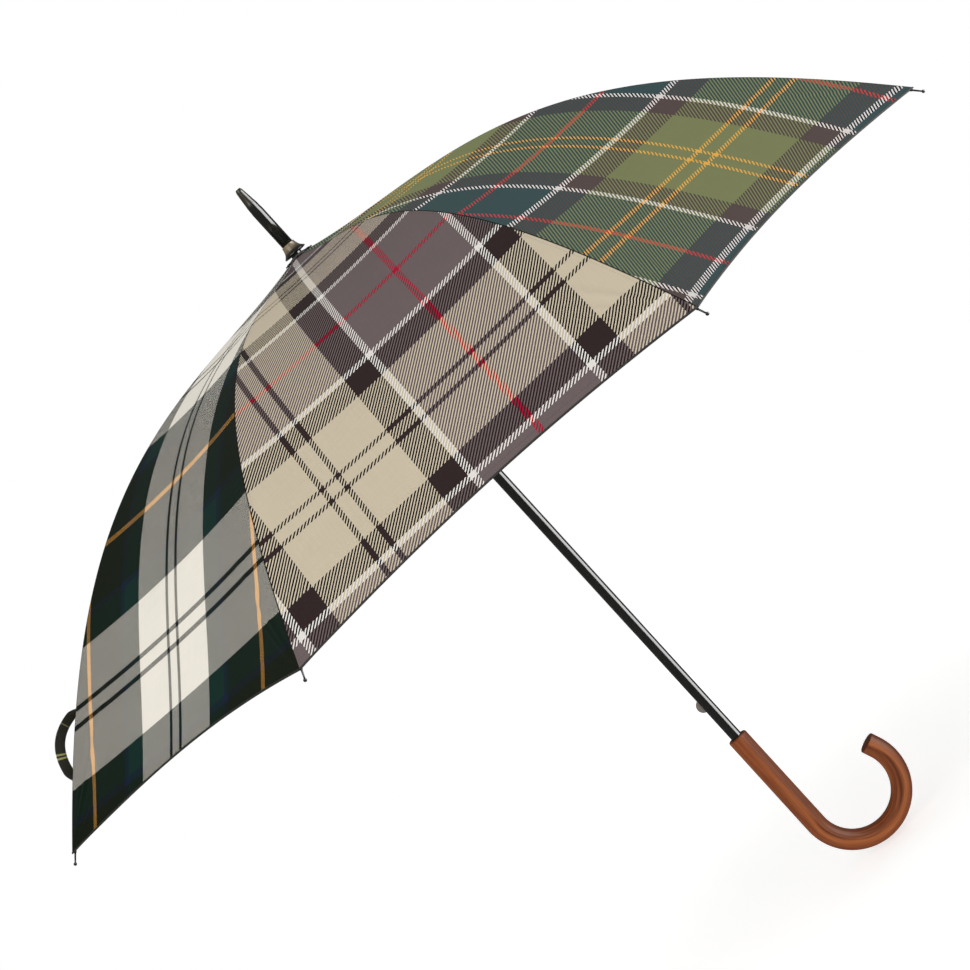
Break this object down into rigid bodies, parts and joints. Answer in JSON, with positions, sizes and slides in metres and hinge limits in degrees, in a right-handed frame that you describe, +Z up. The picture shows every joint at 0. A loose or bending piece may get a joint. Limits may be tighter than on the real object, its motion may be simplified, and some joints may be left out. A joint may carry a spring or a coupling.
{
  "type": "stick umbrella",
  "caption": "Open stick umbrella with a check canopy on sprung folding ribs, a sliding runner with catches, a wooden crook handle and a long spike.",
  "frame": {"origin": "on the shaft's axis at the middle of the straight grip", "axes": "+Z up the shaft towards the spike, +X towards the side the crook hooks to, +Y completes a right-handed frame"},
  "size_m": [1.0332, 1.0332, 0.9013],
  "materials": {
    "canopy_cloth": "closely woven check twill, a different check on each panel",
    "dark_cloth": "dark olive woven cloth",
    "spring_steel": "pressed and drawn spring steel",
    "steel_wire": "drawn wire",
    "catch_steel": "worn grey steel",
    "black_tip": "black enamel",
    "black_lacquer": "gloss black lacquer",
    "black_gloss": "gloss black moulding",
    "black_plastic": "satin black moulding",
    "stained_wood": "reddish brown stain under satin lacquer"
  },
  "bodies": {
    "shaft": {"shaft_tube": "black_lacquer", "handle": "stained_wood", "ferrule_spike": "black_gloss", "ferrule_cup": "black_gloss", "crown_rosette": "dark_cloth", "top_notch": "black_plastic", "notch_wire": "steel_wire", "stop_collar": "black_plastic"},
    "runner": {"runner": "black_plastic", "runner_wire": "steel_wire"},
    "top_catch": {"top_catch": "catch_steel"},
    "bottom_catch": {"bottom_catch": "catch_steel"},
    "rib_1": {"rib_1": "spring_steel", "panel_1": "canopy_cloth"},
    "rib_end_1": {"rib_end_1": "spring_steel", "tip_1": "black_tip"},
    "stretcher_1": {"stretcher_1": "spring_steel"},
    "rib_2": {"rib_2": "spring_steel", "panel_2": "canopy_cloth"},
    "rib_end_2": {"rib_end_2": "spring_steel", "tip_2": "black_tip"},
    "stretcher_2": {"stretcher_2": "spring_steel"},
    "rib_3": {"rib_3": "spring_steel", "panel_3": "canopy_cloth"},
    "rib_end_3": {"rib_end_3": "spring_steel", "tip_3": "black_tip"},
    "stretcher_3": {"stretcher_3": "spring_steel"},
    "rib_4": {"rib_4": "spring_steel", "panel_4": "canopy_cloth"},
    "rib_end_4": {"rib_end_4": "spring_steel", "tip_4": "black_tip"},
    "stretcher_4": {"stretcher_4": "spring_steel"},
    "rib_5": {"rib_5": "spring_steel", "panel_5": "canopy_cloth"},
    "rib_end_5": {"rib_end_5": "spring_steel", "tip_5": "black_tip", "tie_strap": "dark_cloth"},
    "stretcher_5": {"stretcher_5": "spring_steel"},
    "rib_6": {"rib_6": "spring_steel", "panel_6": "canopy_cloth"},
    "rib_end_6": {"rib_end_6": "spring_steel", "tip_6": "black_tip"},
    "stretcher_6": {"stretcher_6": "spring_steel"},
    "rib_7": {"rib_7": "spring_steel", "panel_7": "canopy_cloth"},
    "rib_end_7": {"rib_end_7": "spring_steel", "tip_7": "black_tip"},
    "stretcher_7": {"stretcher_7": "spring_steel"},
    "rib_8": {"rib_8": "spring_steel", "panel_8": "canopy_cloth"},
    "rib_end_8": {"rib_end_8": "spring_steel", "tip_8": "black_tip"},
    "stretcher_8": {"stretcher_8": "spring_steel"}
  },
  "joints": [
    {"name": "runner_slide", "type": "slide", "parent": "shaft", "child": "runner", "axis": [0, 0, -1], "range_m": [0, 0.41201], "deforming": ["top_catch", "bottom_catch", "tie_strap", "panel_1", "panel_2", "panel_3", "panel_4", "panel_5", "panel_6", "panel_7", "panel_8"]},
    {"name": "top_catch_press", "type": "slide", "parent": "shaft", "child": "top_catch", "axis": [1, 0, 0], "range_m": [0, 0.0045], "stiffness_N_per_m": 400},
    {"name": "bottom_catch_press", "type": "slide", "parent": "shaft", "child": "bottom_catch", "axis": [1, 0, 0], "range_m": [0, 0.0045], "stiffness_N_per_m": 400},
    {"name": "rib_hinge_1", "type": "hinge", "parent": "shaft", "child": "rib_1", "pos_m": [0.01016, 0.00421, 0.69369], "axis": [-0.3827, 0.9239, 0], "range_deg": [0, 76.88], "deforming": ["panel_1"]},
    {"name": "rib_end_hinge_1", "type": "hinge", "parent": "rib_1", "child": "rib_end_1", "pos_m": [0.24826, 0.10283, 0.64174], "axis": [-0.3827, 0.9239, 0], "range_deg": [-24.82, 0]},
    {"name": "stretcher_hinge_1", "type": "hinge", "parent": "rib_1", "child": "stretcher_1", "pos_m": [0.24677, 0.10221, 0.63754], "axis": [-0.3827, 0.9239, 0], "range_deg": [-153.72, 0]},
    {"name": "rib_hinge_2", "type": "hinge", "parent": "shaft", "child": "rib_2", "pos_m": [0.00421, 0.01016, 0.69369], "axis": [-0.9239, 0.3827, 0], "range_deg": [0, 76.88], "deforming": ["panel_2"]},
    {"name": "rib_end_hinge_2", "type": "hinge", "parent": "rib_2", "child": "rib_end_2", "pos_m": [0.10283, 0.24826, 0.64174], "axis": [-0.9239, 0.3827, 0], "range_deg": [-24.82, 0]},
    {"name": "stretcher_hinge_2", "type": "hinge", "parent": "rib_2", "child": "stretcher_2", "pos_m": [0.10221, 0.24677, 0.63754], "axis": [-0.9239, 0.3827, 0], "range_deg": [-153.72, 0]},
    {"name": "rib_hinge_3", "type": "hinge", "parent": "shaft", "child": "rib_3", "pos_m": [-0.00421, 0.01016, 0.69369], "axis": [-0.9239, -0.3827, 0], "range_deg": [0, 76.88], "deforming": ["panel_3"]},
    {"name": "rib_end_hinge_3", "type": "hinge", "parent": "rib_3", "child": "rib_end_3", "pos_m": [-0.10283, 0.24826, 0.64174], "axis": [-0.9239, -0.3827, 0], "range_deg": [-24.82, 0]},
    {"name": "stretcher_hinge_3", "type": "hinge", "parent": "rib_3", "child": "stretcher_3", "pos_m": [-0.10221, 0.24677, 0.63754], "axis": [-0.9239, -0.3827, 0], "range_deg": [-153.72, 0]},
    {"name": "rib_hinge_4", "type": "hinge", "parent": "shaft", "child": "rib_4", "pos_m": [-0.01016, 0.00421, 0.69369], "axis": [-0.3827, -0.9239, 0], "range_deg": [0, 76.88], "deforming": ["panel_4"]},
    {"name": "rib_end_hinge_4", "type": "hinge", "parent": "rib_4", "child": "rib_end_4", "pos_m": [-0.24826, 0.10283, 0.64174], "axis": [-0.3827, -0.9239, 0], "range_deg": [-24.82, 0]},
    {"name": "stretcher_hinge_4", "type": "hinge", "parent": "rib_4", "child": "stretcher_4", "pos_m": [-0.24677, 0.10221, 0.63754], "axis": [-0.3827, -0.9239, 0], "range_deg": [-153.72, 0]},
    {"name": "rib_hinge_5", "type": "hinge", "parent": "shaft", "child": "rib_5", "pos_m": [-0.01016, -0.00421, 0.69369], "axis": [0.3827, -0.9239, 0], "range_deg": [0, 76.88], "deforming": ["panel_5"]},
    {"name": "rib_end_hinge_5", "type": "hinge", "parent": "rib_5", "child": "rib_end_5", "pos_m": [-0.24826, -0.10283, 0.64174], "axis": [0.3827, -0.9239, 0], "range_deg": [-24.82, 0], "deforming": ["tie_strap"]},
    {"name": "stretcher_hinge_5", "type": "hinge", "parent": "rib_5", "child": "stretcher_5", "pos_m": [-0.24677, -0.10221, 0.63754], "axis": [0.3827, -0.9239, 0], "range_deg": [-153.72, 0]},
    {"name": "rib_hinge_6", "type": "hinge", "parent": "shaft", "child": "rib_6", "pos_m": [-0.00421, -0.01016, 0.69369], "axis": [0.9239, -0.3827, 0], "range_deg": [0, 76.88], "deforming": ["panel_6"]},
    {"name": "rib_end_hinge_6", "type": "hinge", "parent": "rib_6", "child": "rib_end_6", "pos_m": [-0.10283, -0.24826, 0.64174], "axis": [0.9239, -0.3827, 0], "range_deg": [-24.82, 0]},
    {"name": "stretcher_hinge_6", "type": "hinge", "parent": "rib_6", "child": "stretcher_6", "pos_m": [-0.10221, -0.24677, 0.63754], "axis": [0.9239, -0.3827, 0], "range_deg": [-153.72, 0]},
    {"name": "rib_hinge_7", "type": "hinge", "parent": "shaft", "child": "rib_7", "pos_m": [0.00421, -0.01016, 0.69369], "axis": [0.9239, 0.3827, 0], "range_deg": [0, 76.88], "deforming": ["panel_7"]},
    {"name": "rib_end_hinge_7", "type": "hinge", "parent": "rib_7", "child": "rib_end_7", "pos_m": [0.10283, -0.24826, 0.64174], "axis": [0.9239, 0.3827, 0], "range_deg": [-24.82, 0]},
    {"name": "stretcher_hinge_7", "type": "hinge", "parent": "rib_7", "child": "stretcher_7", "pos_m": [0.10221, -0.24677, 0.63754], "axis": [0.9239, 0.3827, 0], "range_deg": [-153.72, 0]},
    {"name": "rib_hinge_8", "type": "hinge", "parent": "shaft", "child": "rib_8", "pos_m": [0.01016, -0.00421, 0.69369], "axis": [0.3827, 0.9239, 0], "range_deg": [0, 76.88], "deforming": ["panel_8"]},
    {"name": "rib_end_hinge_8", "type": "hinge", "parent": "rib_8", "child": "rib_end_8", "pos_m": [0.24826, -0.10283, 0.64174], "axis": [0.3827, 0.9239, 0], "range_deg": [-24.82, 0]},
    {"name": "stretcher_hinge_8", "type": "hinge", "parent": "rib_8", "child": "stretcher_8", "pos_m": [0.24677, -0.10221, 0.63754], "axis": [0.3827, 0.9239, 0], "range_deg": [-153.72, 0]}
  ],
  "couplings": [
    {"joint": "rib_hinge_1", "follows": "runner_slide", "rad_per_m": 3.2548},
    {"joint": "rib_end_hinge_1", "follows": "runner_slide", "rad_per_m": -1.0492},
    {"joint": "stretcher_hinge_1", "follows": "runner_slide", "rad_per_m": -6.5096},
    {"joint": "rib_hinge_2", "follows": "runner_slide", "rad_per_m": 3.2548},
    {"joint": "rib_end_hinge_2", "follows": "runner_slide", "rad_per_m": -1.0492},
    {"joint": "stretcher_hinge_2", "follows": "runner_slide", "rad_per_m": -6.5096},
    {"joint": "rib_hinge_3", "follows": "runner_slide", "rad_per_m": 3.2548},
    {"joint": "rib_end_hinge_3", "follows": "runner_slide", "rad_per_m": -1.0492},
    {"joint": "stretcher_hinge_3", "follows": "runner_slide", "rad_per_m": -6.5096},
    {"joint": "rib_hinge_4", "follows": "runner_slide", "rad_per_m": 3.2548},
    {"joint": "rib_end_hinge_4", "follows": "runner_slide", "rad_per_m": -1.0492},
    {"joint": "stretcher_hinge_4", "follows": "runner_slide", "rad_per_m": -6.5096},
    {"joint": "rib_hinge_5", "follows": "runner_slide", "rad_per_m": 3.2548},
    {"joint": "rib_end_hinge_5", "follows": "runner_slide", "rad_per_m": -1.0492},
    {"joint": "stretcher_hinge_5", "follows": "runner_slide", "rad_per_m": -6.5096},
    {"joint": "rib_hinge_6", "follows": "runner_slide", "rad_per_m": 3.2548},
    {"joint": "rib_end_hinge_6", "follows": "runner_slide", "rad_per_m": -1.0492},
    {"joint": "stretcher_hinge_6", "follows": "runner_slide", "rad_per_m": -6.5096},
    {"joint": "rib_hinge_7", "follows": "runner_slide", "rad_per_m": 3.2548},
    {"joint": "rib_end_hinge_7", "follows": "runner_slide", "rad_per_m": -1.0492},
    {"joint": "stretcher_hinge_7", "follows": "runner_slide", "rad_per_m": -6.5096},
    {"joint": "rib_hinge_8", "follows": "runner_slide", "rad_per_m": 3.2548},
    {"joint": "rib_end_hinge_8", "follows": "runner_slide", "rad_per_m": -1.0492},
    {"joint": "stretcher_hinge_8", "follows": "runner_slide", "rad_per_m": -6.5096}
  ]
}
